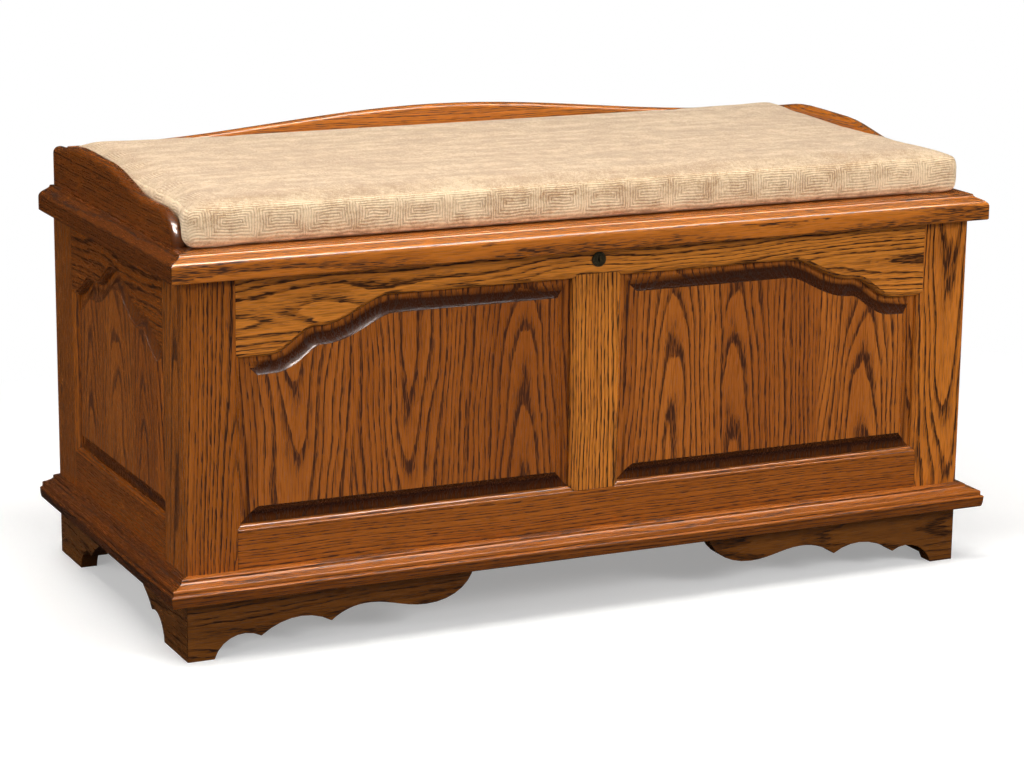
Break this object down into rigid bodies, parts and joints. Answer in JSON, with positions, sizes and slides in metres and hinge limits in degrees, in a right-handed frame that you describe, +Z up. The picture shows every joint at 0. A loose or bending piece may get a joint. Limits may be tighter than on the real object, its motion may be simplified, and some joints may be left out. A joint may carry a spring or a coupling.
{
  "type": "blanket chest",
  "caption": "Free-standing wooden blanket chest with arched raised panels, scalloped bracket feet, a hinged lid with a low gallery and a seat cushion, and a keyed lock.",
  "frame": {"origin": "on the floor under the middle of the chest, at the middle of its overall width and depth", "axes": "+X along the width, towards the right as seen from the front; +Y towards the back, with the front at -Y; +Z up"},
  "size_m": [1.136, 0.5408, 0.5755],
  "materials": {
    "oak": "stained red oak with open grain under a satin varnish",
    "plain_oak": "unstained oak, planed and left bare",
    "cushion_cover": "woven ribbed cover, matt",
    "brass": "lacquered brass",
    "dark_bronze": "darkened antique metal"
  },
  "bodies": {
    "case": {"front_stile_left": "oak", "front_stile_right": "oak", "front_stile_middle": "oak", "front_rail_bottom": "oak", "front_rail_top": "oak", "front_panel_left": "oak", "front_panel_right": "oak", "left_stile_front": "oak", "left_stile_back": "oak", "left_rail_bottom": "oak", "left_rail_top": "oak", "left_panel": "oak", "right_stile_front": "oak", "right_stile_back": "oak", "right_rail_bottom": "oak", "right_rail_top": "oak", "right_panel": "oak", "back_stile_left": "oak", "back_stile_right": "oak", "back_rail_bottom": "oak", "back_rail_top": "oak", "back_panel": "oak", "base_moulding_front": "oak", "base_moulding_left": "oak", "base_moulding_right": "oak", "foot_bracket_front_left": "oak", "foot_bracket_left_front": "oak", "foot_bracket_left_back": "oak", "foot_bracket_back_left": "oak", "foot_bracket_front_right": "oak", "foot_bracket_right_front": "oak", "foot_bracket_right_back": "oak", "foot_bracket_back_right": "oak", "bottom_board": "plain_oak", "cleat_front": "plain_oak", "cleat_back": "plain_oak", "glue_block_front_left": "plain_oak", "glue_block_back_left": "plain_oak", "glue_block_front_right": "plain_oak", "glue_block_back_right": "plain_oak", "hinge_left_case_leaf": "brass", "hinge_left_pin": "brass", "hinge_right_case_leaf": "brass", "hinge_right_pin": "brass", "lock_housing": "dark_bronze", "lock_nut": "dark_bronze"},
    "lid": {"lid_edge_front": "oak", "lid_edge_left": "oak", "lid_edge_right": "oak", "lid_edge_back": "oak", "lid_panel": "oak", "gallery_arm_left": "oak", "gallery_arm_right": "oak", "gallery_rail_back": "oak", "cushion": "cushion_cover", "hinge_left_lid_leaf": "brass", "hinge_right_lid_leaf": "brass", "lock_strike": "brass"},
    "lock_plug": {"lock_plug": "dark_bronze"}
  },
  "joints": [
    {"name": "lid_hinge", "type": "hinge", "parent": "case", "child": "lid", "pos_m": [0, 0.2666, 0.464], "axis": [-1, 0, 0], "range_deg": [0, 85]},
    {"name": "lock_turn", "type": "hinge", "parent": "case", "child": "lock_plug", "pos_m": [0, -0.2424, 0.45], "axis": [0, 1, 0], "range_deg": [0, 90]}
  ]
}
